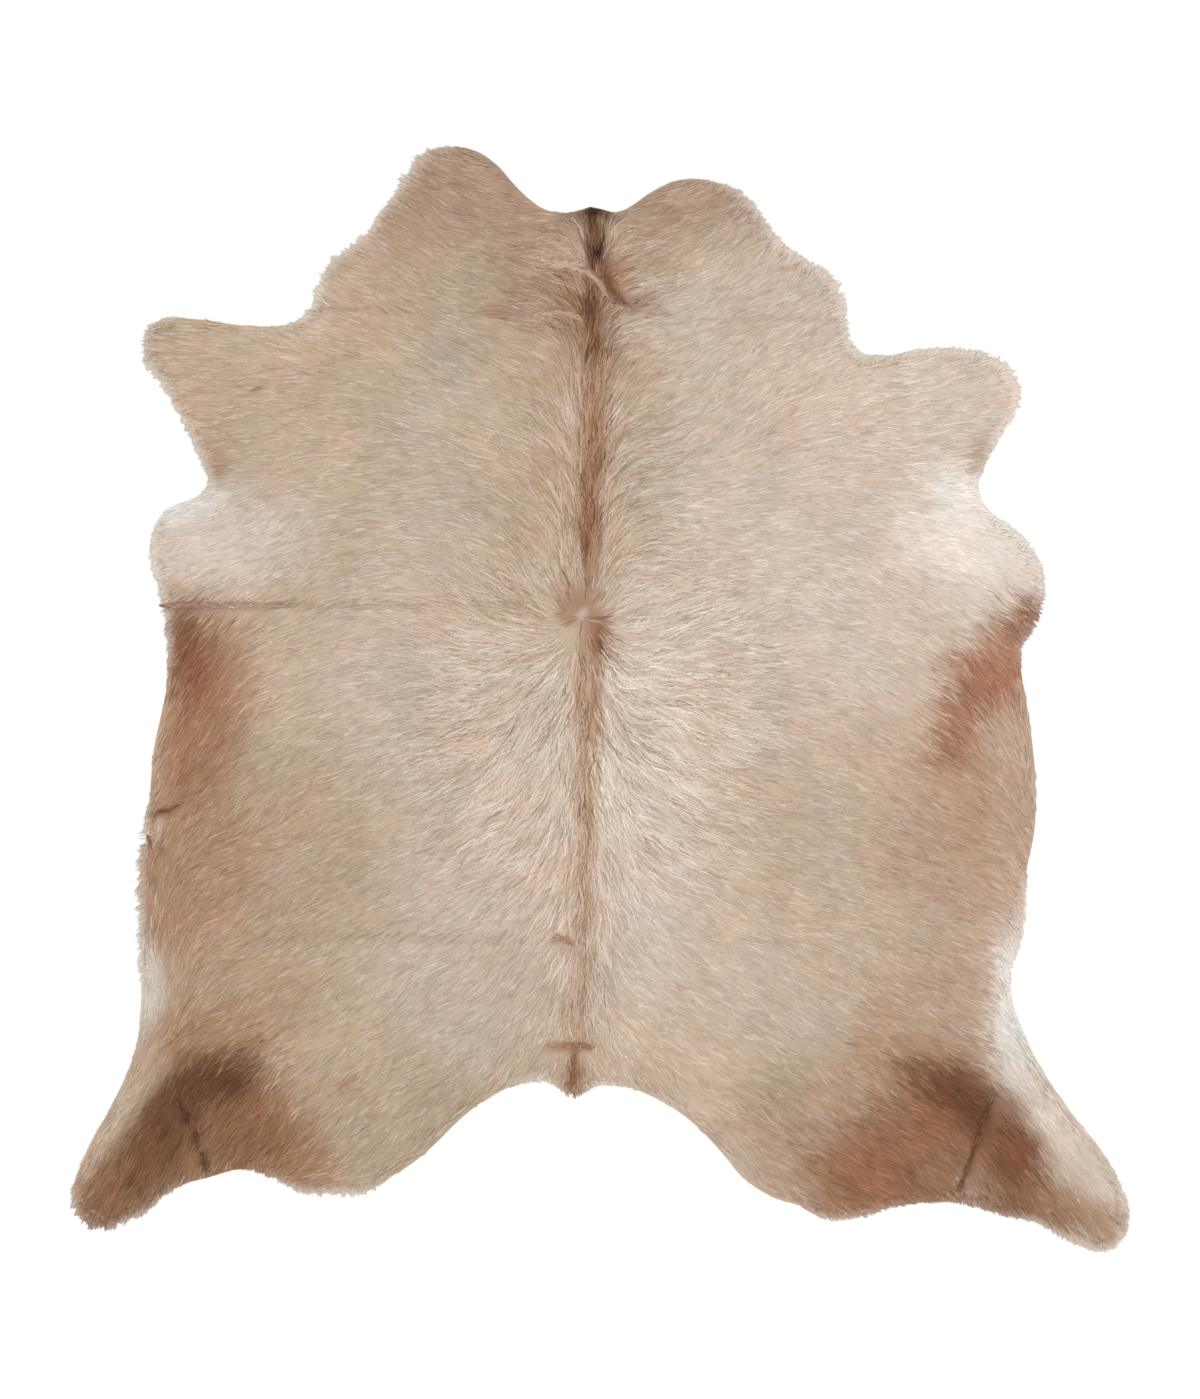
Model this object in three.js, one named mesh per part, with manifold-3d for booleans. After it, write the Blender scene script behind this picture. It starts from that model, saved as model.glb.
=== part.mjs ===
// Cowhide rug: one whole hair-on hide, laid out flat with the hair up.
// Millimetres. +Y runs along the spine to the neck, +X is the right of the view from above, +Z is up.
// The solid is the skin with the hair lying on it, so its top is the lie of the hair.
import * as THREE from 'three';
import Module from 'manifold-3d';

const wasm = await Module();
wasm.setup();

// Thickness of the hide
const skinThickness = 2.4;
const pileDepth = 5.6;

// Lumps in the lie of the hair: two sets of crossing waves, with their lengths
const lumps = {
  height: 0.55, across: 240, along: 205, sway: 48, swayLength: 650, broadAcross: 640, broadAlong: 430,
};

// Cut edge: a low wall, then a slope up to the top of the hair
const edgeHeight = 3.2;
const edgeRound = 11;
const plainStep = 26;

// Locks of hair that pass the cut edge, each a low three-sided lock that rests on the floor.
// Between two tips the hair still reaches a part of the way, lockRoot.
const lockPitch = 17;
const lockFrom = 5.5;
const lockTipHeight = 1.4;
const lockUnevenness = 0.25;
const lockRoot = 0.4;
const lockSeed = 41;

// Hair starts at a whorl on the spine and lies away from it
const whorl = { x: -36, y: 164 };
const lockLean = 0.7;
const lockMiddle = { from: 0.4, spread: 0.2 };

// The spine leans a little in this frame, and the folds cross it
const spineTop = { x: -10, y: 985 };
const spineEnd = { x: -50, y: -790 };
const foldSlope = -0.021;

// Mesh of the top: one cell is about this wide, and finer beside the spine and the folds
const cell = 56;
const spineColumns = [-36, -14, 0, 14, 36];
const reliefMargin = 60;
const ceiling = 60;
const cellar = -10;
const curlFoot = 0.12;

const table = (columns, rows) => rows.map(
  (row) => Object.fromEntries(columns.map((name, index) => [name, row[index]])),
);

// Skin's edge, clockwise from the neck; hair is how far the hair passes that edge
const edgeColumns = ['x', 'y', 'hair'];
const outline = {
  nape: table(edgeColumns, [
    [-120, 983, 0], [-80, 972, 0], [-42, 978, 0], [-10, 987, 3], [18, 973, 0], [50, 980, 0],
  ]),
  rightNeck: table(edgeColumns, [
    [100, 1014, 1], [155, 1039, 1], [210, 1039, 2], [252, 1024, 8], [285, 1002, 10],
    [312, 970, 12], [340, 930, 12], [368, 901, 11], [405, 875, 11], [445, 850, 14],
    [470, 810, 18], [481, 760, 17], [492, 714, 13], [520, 687, 7],
  ]),
  rightForeleg: table(edgeColumns, [
    [580, 684, 7], [640, 694, 9], [720, 694, 12], [775, 681, 13], [808, 659, 16],
    [824, 628, 17], [825, 582, 14], [805, 550, 11], [780, 504, 8], [764, 468, 8],
    [753, 428, 1], [772, 385, 3], [808, 350, 8], [848, 314, 10], [875, 270, 9], [881, 222, 10],
  ]),
  rightFlank: table(edgeColumns, [
    [869, 178, 17], [852, 143, 17], [840, 103, 5], [843, 45, 1], [857, -40, 1],
    [869, -150, 1], [868, -260, 1], [853, -335, 3], [843, -390, 13], [830, -480, 13],
    [818, -556, 3],
  ]),
  rightHindleg: table(edgeColumns, [
    [824, -604, 1], [847, -670, 1], [882, -741, 1], [940, -826, 1], [1000, -900, 2],
    [1036, -962, 5], [1053, -1024, 7], [1042, -1076, 9], [1005, -1098, 12],
    [960, -1085, 13], [915, -1064, 12], [870, -1040, 9], [815, -1030, 8],
    [762, -1015, 7], [712, -1003, 6], [650, -1004, 6],
  ]),
  rightRump: table(edgeColumns, [
    [590, -1010, 7], [525, -1028, 8], [455, -1037, 7], [400, -1014, 4], [345, -997, 1],
    [290, -962, 0], [240, -905, 0], [195, -857, 0], [140, -815, 0], [80, -785, 2], [30, -769, 8],
  ]),
  tail: table(edgeColumns, [
    [-10, -769, 7], [-32, -782, 7], [-56, -793, 7], [-78, -778, 7],
  ]),
  leftRump: table(edgeColumns, [
    [-112, -760, 8], [-165, -770, 4], [-230, -800, 1], [-285, -843, 0], [-335, -893, 0],
    [-385, -934, 2], [-430, -962, 6], [-478, -986, 9], [-530, -983, 10], [-575, -983, 12],
    [-625, -966, 12], [-672, -947, 6], [-728, -941, 3], [-785, -957, 4],
  ]),
  leftHindleg: table(edgeColumns, [
    [-835, -970, 5], [-875, -992, 6], [-915, -1025, 8], [-952, -1039, 11],
    [-990, -1053, 12], [-1035, -1038, 12], [-1056, -1000, 7], [-1047, -950, 4],
    [-1022, -890, 3], [-985, -825, 2], [-945, -742, 2], [-926, -680, 1],
    [-920, -590, 3], [-918, -520, 12], [-917, -410, 15], [-916, -315, 15],
  ]),
  leftFlank: table(edgeColumns, [
    [-908, -272, 14], [-902, -195, 1], [-894, -100, 1], [-872, 5, 1], [-861, 90, 9],
    [-864, 160, 12], [-879, 225, 13], [-895, 280, 10], [-895, 340, 3],
  ]),
  leftForeleg: table(edgeColumns, [
    [-868, 382, 1], [-815, 401, 1], [-782, 430, 8], [-789, 472, 12], [-807, 508, 11],
    [-838, 566, 8], [-874, 632, 9], [-907, 684, 13], [-904, 738, 9], [-868, 762, 5],
    [-800, 760, 2], [-730, 749, 3], [-660, 746, 5], [-605, 754, 7], [-575, 780, 14],
  ]),
  leftNeck: table(edgeColumns, [
    [-557, 822, 17], [-541, 864, 14], [-500, 900, 12], [-463, 927, 11], [-437, 970, 10],
    [-405, 1012, 13], [-372, 1064, 13], [-345, 1093, 9], [-305, 1105, 4], [-258, 1101, 1],
    [-212, 1073, 1], [-165, 1021, 0],
  ]),
};

// Folds across the hide, left over from packing: each a low tent along a row of the mesh
const folds = table(['name', 'at', 'rise', 'reach', 'left', 'right'], [
  ['shoulder', 767, 3.0, 34, -620, 540],
  ['middle', 164, 3.4, 36, -900, 900],
  ['loin', -483, 3.0, 34, -720, 800],
]);
const foldFade = 160;

// Edges that curl a little off the floor
const curls = table(['name', 'x', 'y', 'reach', 'rise'], [
  ['right groin', 892, -752, 95, 6.5],
  ['left belly', -915, -250, 80, 4.5],
  ['left neck', -300, 1120, 110, 5],
  ['right neck', 190, 1060, 90, 3.5],
  ['left elbow', -905, 700, 80, 4],
]);

// Where the hair lies deeper, as at the mane, or thinner, as at the whorl and in the armpits
const pileChanges = table(['name', 'x', 'y', 'reach', 'rise'], [
  ['nape tuft', -10, 955, 48, 4.5],
  ['mane', -5, 830, 70, 2.5],
  ['whorl', -36, 164, 30, -3.2],
  ['left armpit', -820, 380, 120, -2],
  ['right armpit', 760, 400, 120, -2],
  ['left groin', -900, -640, 130, -1.8],
  ['right groin', 815, -640, 130, -1.8],
  ['left hock', -770, -770, 110, 1.8],
  ['right hock', 690, -790, 120, 1.8],
  ['left rump', -330, -560, 260, 1.2],
  ['right rump', 300, -580, 260, 1.2],
  ['tail root', -45, -720, 60, 2],
]);

// Creases pressed into the hair, each a soft trough that runs out at both ends
const creases = table(['name', 'fromX', 'fromY', 'midX', 'midY', 'toX', 'toY', 'width', 'depth'], [
  ['left hock', -838, -812, -806, -880, -785, -938, 26, 3.6],
  ['right hock', 787, -788, 768, -880, 716, -984, 28, 3.8],
  ['left belly', -892, -228, -872, -222, -846, -212, 20, 3.4],
  ['tail', -48, -690, -52, -740, -56, -786, 22, 3.2],
  ['right groin', 836, -612, 826, -594, 806, -584, 16, 2.4],
  ['left mane', -170, 815, -110, 822, -60, 862, 24, 2.6],
  ['right mane', 10, 856, 34, 812, 100, 786, 26, 3.0],
]);
const creaseSteps = 6;
const creaseCover = 5;
const creaseEnd = { depth: 0.15, width: 0.35 };

// Seeded random numbers from 0 to 1 for the locks, the same each time
function chances(seed) {
  let state = seed;
  return () => {
    state = (state * 16807) % 2147483647;
    return state / 2147483647;
  };
}

const bell = (distance, reach) => Math.exp(-((distance / reach) ** 2));

function spineX(y) {
  const down = (spineTop.y - y) / (spineTop.y - spineEnd.y);
  return spineTop.x + (spineEnd.x - spineTop.x) * down;
}

// 1 well inside a fold's two ends, and 0 past them
function foldStrength(fold, x) {
  const inside = Math.min(x - fold.left, fold.right - x);
  return THREE.MathUtils.clamp(inside / foldFade, 0, 1);
}

// Height of the underside over the floor
function liftAt(x, y) {
  const row = y - foldSlope * x;
  let lift = 0;
  for (const fold of folds) {
    const tent = Math.max(0, 1 - Math.abs(row - fold.at) / fold.reach);
    lift += fold.rise * tent * foldStrength(fold, x);
  }
  for (const curl of curls) {
    const rise = curl.rise * (bell(Math.hypot(x - curl.x, y - curl.y), curl.reach) - curlFoot);
    lift += Math.max(0, rise);
  }
  return lift;
}

const wave = (distance, length) => Math.sin((2 * Math.PI * distance) / length);

function lumpsAt(x, y) {
  const acrossWave = wave(x + lumps.sway * wave(y, lumps.swayLength), lumps.across);
  const alongWave = wave(y + lumps.sway * wave(x, lumps.swayLength), lumps.along);
  const broad = wave(x + y, lumps.broadAcross) * wave(y - x / 2, lumps.broadAlong);
  return lumps.height * (acrossWave * alongWave + broad);
}

// Height of the top of the hair over the floor
function topAt(x, y) {
  let pile = pileDepth + lumpsAt(x, y);
  for (const change of pileChanges) {
    pile += change.rise * bell(Math.hypot(x - change.x, y - change.y), change.reach);
  }
  return liftAt(x, y) + skinThickness + pile;
}

function toSolid(positions, faces) {
  const mesh = new wasm.Mesh({
    numProp: 3,
    vertProperties: new Float32Array(positions),
    triVerts: new Uint32Array(faces),
  });
  return new wasm.Manifold(mesh);
}

function toGeometry(solid) {
  const mesh = solid.getMesh();
  const geometry = new THREE.BufferGeometry();
  geometry.setAttribute('position', new THREE.BufferAttribute(new Float32Array(mesh.vertProperties), 3));
  geometry.setIndex(new THREE.BufferAttribute(new Uint32Array(mesh.triVerts), 1));
  geometry.computeVertexNormals();
  return geometry;
}

// Lines of a mesh from low to high, evenly spaced between the fixed ones
function gradedLines(low, high, fixed, spacing) {
  const stops = [low, ...fixed.filter((stop) => stop > low && stop < high), high];
  stops.sort((a, b) => a - b);
  const lines = [low];
  for (let i = 1; i < stops.length; i += 1) {
    const gap = stops[i] - stops[i - 1];
    const parts = Math.max(1, Math.round(gap / spacing));
    for (let part = 1; part <= parts; part += 1) {
      lines.push(stops[i - 1] + (gap * part) / parts);
    }
  }
  return lines;
}

// Rings of points of equal count, joined from the first to the last and closed by two flat faces
function loft(rings) {
  const count = rings[0].length;
  const positions = [];
  const faces = [];
  for (const ring of rings) {
    for (const point of ring) positions.push(point.x, point.y, point.z);
  }
  for (let level = 0; level + 1 < rings.length; level += 1) {
    for (let i = 0; i < count; i += 1) {
      const next = (i + 1) % count;
      const low = level * count;
      const high = low + count;
      faces.push(low + i, high + i, low + next);
      faces.push(low + next, high + i, high + next);
    }
  }
  const capOf = (ring) => THREE.ShapeUtils.triangulateShape(
    ring.map((point) => new THREE.Vector2(point.x, point.y)), [],
  );
  const last = (rings.length - 1) * count;
  for (const [a, b, c] of capOf(rings[0])) faces.push(c, b, a);
  for (const [a, b, c] of capOf(rings[rings.length - 1])) faces.push(last + a, last + b, last + c);
  return { positions, faces };
}

// Skin's edge as one closed curve; its third coordinate carries the length of the hair
const edgeRows = Object.values(outline).flat();
const edgeCurve = new THREE.CatmullRomCurve3(
  edgeRows.map((row) => new THREE.Vector3(row.x, row.y, row.hair)), true, 'centripetal',
);
edgeCurve.arcLengthDivisions = 6000;

// Places around the edge: a valley and a tip for each lock, and plain steps between the locks
function edgeStations() {
  const around = edgeCurve.getLength();
  const chance = chances(lockSeed);
  const stations = [];
  let along = 0;
  while (along < around - plainStep / 2) {
    const hair = edgeCurve.getPointAt(along / around).z;
    const root = hair < lockFrom ? 0 : hair * lockRoot;
    stations.push({ at: along / around, reach: root, tip: false });
    if (hair < lockFrom) {
      along += plainStep;
    } else {
      const uneven = 1 + lockUnevenness * (2 * chance() - 1);
      const middle = along + lockPitch * (lockMiddle.from + lockMiddle.spread * chance());
      stations.push({ at: middle / around, reach: hair * uneven, tip: true });
      along += lockPitch;
    }
  }
  return stations;
}

function edgeRings() {
  const sole = [];
  const foot = [];
  const brow = [];
  const shoulder = [];
  const head = [];
  for (const station of edgeStations()) {
    const edge = edgeCurve.getPointAt(station.at);
    const along = edgeCurve.getTangentAt(station.at);
    const outward = new THREE.Vector2(-along.y, along.x).normalize();
    const lie = new THREE.Vector2(edge.x - whorl.x, edge.y - whorl.y).normalize();
    const lean = outward.clone().addScaledVector(lie, lockLean).normalize();
    const tip = new THREE.Vector2(edge.x, edge.y).addScaledVector(lean, station.reach);
    const inner = new THREE.Vector2(edge.x, edge.y).addScaledVector(outward, -edgeRound);
    const wall = station.tip ? lockTipHeight : edgeHeight;
    const browZ = liftAt(tip.x, tip.y) + wall;
    sole.push(new THREE.Vector3(inner.x, inner.y, cellar));
    foot.push(new THREE.Vector3(tip.x, tip.y, cellar));
    brow.push(new THREE.Vector3(tip.x, tip.y, browZ));
    shoulder.push(new THREE.Vector3(inner.x, inner.y, liftAt(inner.x, inner.y) + edgeHeight + edgeRound));
    head.push(new THREE.Vector3(inner.x, inner.y, ceiling));
  }
  return [sole, foot, brow, shoulder, head];
}

// Closed block whose top and underside follow the two heights, wider than the hide all round
function reliefSolid() {
  const xs = edgeRows.map((row) => row.x);
  const ys = edgeRows.map((row) => row.y);
  const foldRows = folds.flatMap((fold) => [fold.at - fold.reach, fold.at, fold.at + fold.reach]);
  const columns = gradedLines(
    Math.min(...xs) - reliefMargin, Math.max(...xs) + reliefMargin, spineColumns, cell,
  );
  const rows = gradedLines(
    Math.min(...ys) - reliefMargin, Math.max(...ys) + reliefMargin, foldRows, cell,
  );
  const wide = columns.length;
  const layer = wide * rows.length;
  const positions = [];
  for (const height of [topAt, liftAt]) {
    for (const row of rows) {
      for (const column of columns) {
        const x = column + spineX(row);
        const y = row + foldSlope * x;
        positions.push(x, y, height(x, y));
      }
    }
  }
  const faces = [];
  for (let j = 0; j + 1 < rows.length; j += 1) {
    for (let i = 0; i + 1 < wide; i += 1) {
      const a = j * wide + i;
      const b = a + 1;
      const c = a + wide;
      const d = c + 1;
      faces.push(a, b, d, a, d, c);
      faces.push(layer + a, layer + d, layer + b, layer + a, layer + c, layer + d);
    }
  }
  const border = [];
  for (let i = 0; i + 1 < wide; i += 1) border.push(i);
  for (let j = 0; j + 1 < rows.length; j += 1) border.push(j * wide + wide - 1);
  for (let i = wide - 1; i > 0; i -= 1) border.push((rows.length - 1) * wide + i);
  for (let j = rows.length - 1; j > 0; j -= 1) border.push(j * wide);
  border.forEach((a, index) => {
    const b = border[(index + 1) % border.length];
    faces.push(layer + a, layer + b, a);
    faces.push(a, layer + b, b);
  });
  return toSolid(positions, faces);
}

// Soft trough along a short bent line, to cut from the top
function creaseSolid(crease) {
  const line = new THREE.QuadraticBezierCurve(
    new THREE.Vector2(crease.fromX, crease.fromY),
    new THREE.Vector2(crease.midX, crease.midY),
    new THREE.Vector2(crease.toX, crease.toY),
  );
  const rings = [];
  for (let step = 0; step <= creaseSteps; step += 1) {
    const at = step / creaseSteps;
    const middle = line.getPoint(at);
    const along = line.getTangent(at);
    const swell = Math.sin(Math.PI * at);
    const depth = crease.depth * THREE.MathUtils.lerp(creaseEnd.depth, 1, swell);
    const width = crease.width * THREE.MathUtils.lerp(creaseEnd.width, 1, swell);
    const half = (width / 2) * ((depth + creaseCover) / depth);
    const surface = topAt(middle.x, middle.y);
    const side = (across, z) => new THREE.Vector3(
      middle.x - along.y * across, middle.y + along.x * across, z,
    );
    rings.push([
      side(0, surface - depth), side(-half, surface + creaseCover), side(half, surface + creaseCover),
    ]);
  }
  const positions = rings.flat().flatMap((point) => [point.x, point.y, point.z]);
  const faces = [0, 1, 2];
  for (let step = 0; step < creaseSteps; step += 1) {
    for (let i = 0; i < 3; i += 1) {
      const a = step * 3 + i;
      const b = step * 3 + ((i + 1) % 3);
      faces.push(a, a + 3, b, b, a + 3, b + 3);
    }
  }
  const end = creaseSteps * 3;
  faces.push(end + 2, end + 1, end);
  return toSolid(positions, faces);
}

function hideSolid() {
  const { positions, faces } = loft(edgeRings());
  let hide = reliefSolid().intersect(toSolid(positions, faces));
  for (const crease of creases) hide = hide.subtract(creaseSolid(crease));
  return hide;
}

const hideMaterial = new THREE.MeshStandardMaterial({ color: '#c7b097', roughness: 0.92, metalness: 0 });
const hideGeometry = toGeometry(hideSolid());
hideGeometry.computeBoundingBox();
const middle = hideGeometry.boundingBox.getCenter(new THREE.Vector3());
hideGeometry.translate(-middle.x, -middle.y, -hideGeometry.boundingBox.min.z);

const hide = new THREE.Mesh(hideGeometry, hideMaterial);
hide.name = 'hide';

const rug = new THREE.Group();
rug.add(hide);

export default rug;
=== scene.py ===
# Cowhide rug, hair up, on a pale floor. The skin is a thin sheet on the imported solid's folds,
# and the hair is made lock by lock over it, in six pieces. Metres, but the tables are in millimetres.
import math

import bmesh
import bpy
import numpy as np
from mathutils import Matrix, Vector
from mathutils.bvhtree import BVHTree


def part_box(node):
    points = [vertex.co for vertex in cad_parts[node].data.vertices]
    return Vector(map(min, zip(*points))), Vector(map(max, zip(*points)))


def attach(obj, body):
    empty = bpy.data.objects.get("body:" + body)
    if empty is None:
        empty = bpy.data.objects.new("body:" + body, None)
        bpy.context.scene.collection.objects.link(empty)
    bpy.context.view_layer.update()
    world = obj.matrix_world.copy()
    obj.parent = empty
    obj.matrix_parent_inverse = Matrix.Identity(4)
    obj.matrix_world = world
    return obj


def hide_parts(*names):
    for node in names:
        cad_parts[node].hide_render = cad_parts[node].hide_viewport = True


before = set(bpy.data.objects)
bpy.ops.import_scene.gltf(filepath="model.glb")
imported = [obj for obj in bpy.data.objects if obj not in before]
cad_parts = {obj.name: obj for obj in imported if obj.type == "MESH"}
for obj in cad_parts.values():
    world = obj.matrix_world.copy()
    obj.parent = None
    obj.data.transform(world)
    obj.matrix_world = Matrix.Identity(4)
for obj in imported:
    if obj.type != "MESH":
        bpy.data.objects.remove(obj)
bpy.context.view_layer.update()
mm = 0.001
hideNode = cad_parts["hide"]
low, high = (np.array(corner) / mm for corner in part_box("hide"))


def toLinear(hexColour):
    channels = [int(hexColour[i:i + 2], 16) / 255 for i in (1, 3, 5)]
    return np.array([c / 12.92 if c <= 0.04045 else ((c + 0.055) / 1.055) ** 2.4 for c in channels])


def smooth(value):
    value = np.clip(value, 0, 1)
    return value * value * (3 - 2 * value)


def table(columns, rows):
    return [dict(zip(columns, row)) for row in rows]


def addNode(nodes, kind, values=(), settings=(), links=()):
    # values: input name or number to value; settings: attribute to value; links: input to socket
    node = nodes.new(kind)
    for name, value in dict(settings).items():
        setattr(node, name, value)
    for name, value in dict(values).items():
        node.inputs[name].default_value = value
    for name, socket in dict(links).items():
        nodes.id_data.links.new(socket, node.inputs[name])
    return node


def addObject(name, data):
    added = bpy.data.objects.new(name, data)
    bpy.context.scene.collection.objects.link(added)
    return added


def newMaterial(name, roughness, shader):
    material = bpy.data.materials.new(name)
    material.use_nodes = True
    nodes = material.node_tree.nodes
    bsdf = nodes["Principled BSDF"]
    for key, value in {"Roughness": roughness, **shader}.items():
        bsdf.inputs[key].default_value = value
    return material, nodes, bsdf


# Camera, lights and floor

# Camera straight above, with a view 2.798 m high
camera = {
    "height": 5.0,
    "viewLength": 2.798,
    "sensor": 24.0,
    "lookHeight": 0.005,
}

# Soft daylight from the upper left, a weaker one from the lower right, and a pale room
light = {
    "room": 0.86,
    "roomColour": "#fdfaf6",
    "floorTone": (0.93, 0.93, 0.925),
    # Power, angle and softness in degrees
    "key": (1.25, (34, 0, 40), 45),
    "fill": (0.4, (45, 0, 215), 70),
}


def makeCamera():
    data = bpy.data.cameras.new("camera")
    data.sensor_fit = "VERTICAL"
    data.sensor_height = camera["sensor"]
    reach = camera["height"] - camera["lookHeight"]
    data.lens = camera["sensor"] * reach / camera["viewLength"]
    data.clip_end = 100
    shot = addObject("camera", data)
    shot.location = (0, 0, camera["height"])
    bpy.context.scene.camera = shot


def makeSun(name, power, angle, softness):
    data = bpy.data.lights.new(name, "SUN")
    data.energy = power
    data.angle = math.radians(softness)
    addObject(name, data).rotation_euler = [math.radians(a) for a in angle]


def makeRoom():
    scene = bpy.context.scene
    scene.view_settings.view_transform = "Standard"
    world = bpy.data.worlds.new("room")
    world.use_nodes = True
    background = world.node_tree.nodes["Background"]
    background.inputs["Color"].default_value = (*toLinear(light["roomColour"]), 1)
    background.inputs["Strength"].default_value = light["room"]
    scene.world = world
    for name in ("key", "fill"):
        makeSun(name, *light[name])
    bpy.ops.mesh.primitive_plane_add(size=30, location=(0, 0, -0.0005))
    floor = bpy.context.active_object
    floor.name = "floor"
    material, _, bsdf = newMaterial("matt painted floor", 0.9, {"Specular IOR Level": 0.1})
    bsdf.inputs["Base Color"].default_value = (*light["floorTone"], 1)
    floor.data.materials.append(material)


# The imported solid, read as heights on an even grid and as its rim

def pointsOf(mesh):
    places = np.empty(len(mesh.vertices) * 3)
    mesh.vertices.foreach_get("co", places)
    return places.reshape(-1, 3)


gridStep = 6.0
gridMargin = 60
gridX = np.arange(low[0] - gridMargin, high[0] + gridMargin, gridStep)
gridY = np.arange(low[1] - gridMargin, high[1] + gridMargin, gridStep)


def blend(values, i, j, s, t):
    near = values[j, i] * (1 - s) + values[j, i + 1] * s
    far = values[j + 1, i] * (1 - s) + values[j + 1, i + 1] * s
    return near * (1 - t) + far * t


def onGrid(values, x, y):
    # Values between the grid's points, blended from the nearest four
    u = np.clip((x - gridX[0]) / gridStep, 0, len(gridX) - 1.001)
    v = np.clip((y - gridY[0]) / gridStep, 0, len(gridY) - 1.001)
    i, j = u.astype(int), v.astype(int)
    return blend(values, i, j, u - i, v - j)


def readHeights():
    tree = BVHTree.FromPolygons(
        [v.co for v in hideNode.data.vertices], [p.vertices for p in hideNode.data.polygons],
    )
    shape = (len(gridY), len(gridX))
    under = np.zeros(shape)
    over = np.zeros(shape)
    for j, y in enumerate(gridY):
        for i, x in enumerate(gridX):
            hit = tree.ray_cast(Vector((x * mm, y * mm, 1)), Vector((0, 0, -1)))
            if hit[0] is None:
                continue
            over[j, i] = hit[0].z / mm
            under[j, i] = tree.ray_cast(Vector((x * mm, y * mm, -1)), Vector((0, 0, 1)))[0].z / mm
    return under, over


def rimOfSolid():
    # The underside's border, in order, with the height of the wall over each point of it
    mesh = hideNode.data
    keys, merged = np.unique(np.round(pointsOf(mesh) / mm, 2), axis=0, return_inverse=True)
    merged = merged.ravel()
    wallTop = {}
    for key in keys:
        place = (key[0], key[1])
        wallTop[place] = max(wallTop.get(place, -1), key[2])
    edges = {}
    for polygon in mesh.polygons:
        if polygon.normal.z > -0.8:
            continue
        ring = [int(merged[i]) for i in polygon.vertices]
        for a, b in zip(ring, ring[1:] + ring[:1]):
            if (b, a) in edges:
                del edges[(b, a)]
            else:
                edges[(a, b)] = True
    onward = {a: b for a, b in edges}
    loops = []
    while onward:
        start, at = onward.popitem()
        loop = [start]
        while at != start and at in onward:
            loop.append(at)
            at = onward.pop(at)
        loops.append(loop)
    rim = max(loops, key=len)
    points = keys[rim]
    walls = np.array([wallTop[(p[0], p[1])] - p[2] for p in points])
    return points[:, :2], walls


# The cut edge. The solid's wall is lower than the first value at a lock's tip, and higher than the second
# at the edge. Under long hair the edge is drawn in, by this share of the fringe
cutEdge = {"tipWall": 1.9, "edgeWall": 2.9, "drawnIn": 0.62}


def crossOf(edge):
    # Its sum is twice the area inside, and is positive on an edge that runs anticlockwise
    return edge[:, 0] * np.roll(edge[:, 1], -1) - np.roll(edge[:, 0], -1) * edge[:, 1]


def skinEdge():
    # The rim without the tips of its locks, and how far the hair passes it at each point
    points, walls = rimOfSolid()
    edge = points[walls > cutEdge["edgeWall"]]
    fringe = np.zeros(len(edge))
    for tip in points[walls < cutEdge["tipWall"]]:
        gap = np.hypot(*(edge - tip).T)
        near = np.argsort(gap)[:2]
        a, b = edge[near[0]], edge[near[1]]
        along = (b - a) / max(np.hypot(*(b - a)), 0.01)
        reach = abs(along[0] * (tip - a)[1] - along[1] * (tip - a)[0])
        fringe[near] = np.maximum(fringe[near], reach)
    for _ in range(4):
        fringe = (np.roll(fringe, 1) + 2 * fringe + np.roll(fringe, -1)) / 4
    along = np.roll(edge, -1, axis=0) - np.roll(edge, 1, axis=0)
    along /= np.maximum(np.hypot(*along.T), 0.01)[:, None]
    inward = np.stack([-along[:, 1], along[:, 0]], 1)
    inward *= np.sign(crossOf(edge).sum())
    drawn = fringe * cutEdge["drawnIn"]
    return edge + inward * drawn[:, None], fringe + drawn


def distanceToEdge(edge, fringe):
    # Signed distance to the skin's edge, positive on the skin, and the fringe of the nearest edge
    x, y = (a.ravel() for a in np.meshgrid(gridX, gridY))
    nearest = np.full(len(x), 1e9)
    fringeThere = np.zeros(len(x))
    inside = np.zeros(len(x), bool)
    for a, b, fa, fb in zip(edge, np.roll(edge, -1, axis=0), fringe, np.roll(fringe, -1)):
        run = b - a
        at = np.clip(((x - a[0]) * run[0] + (y - a[1]) * run[1]) / max(run @ run, 1e-6), 0, 1)
        gap = np.hypot(x - a[0] - at * run[0], y - a[1] - at * run[1])
        closer = gap < nearest
        nearest[closer] = gap[closer]
        fringeThere[closer] = (fa + (fb - fa) * at)[closer]
        if a[1] != b[1]:
            crosses = (a[1] > y) != (b[1] > y)
            inside ^= crosses & (x < a[0] + (y - a[1]) * run[0] / run[1])
    signed = np.where(inside, nearest, -nearest).reshape(len(gridY), len(gridX))
    return signed, fringeThere.reshape(signed.shape)


# Lie, colour and creases at any place

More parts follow.
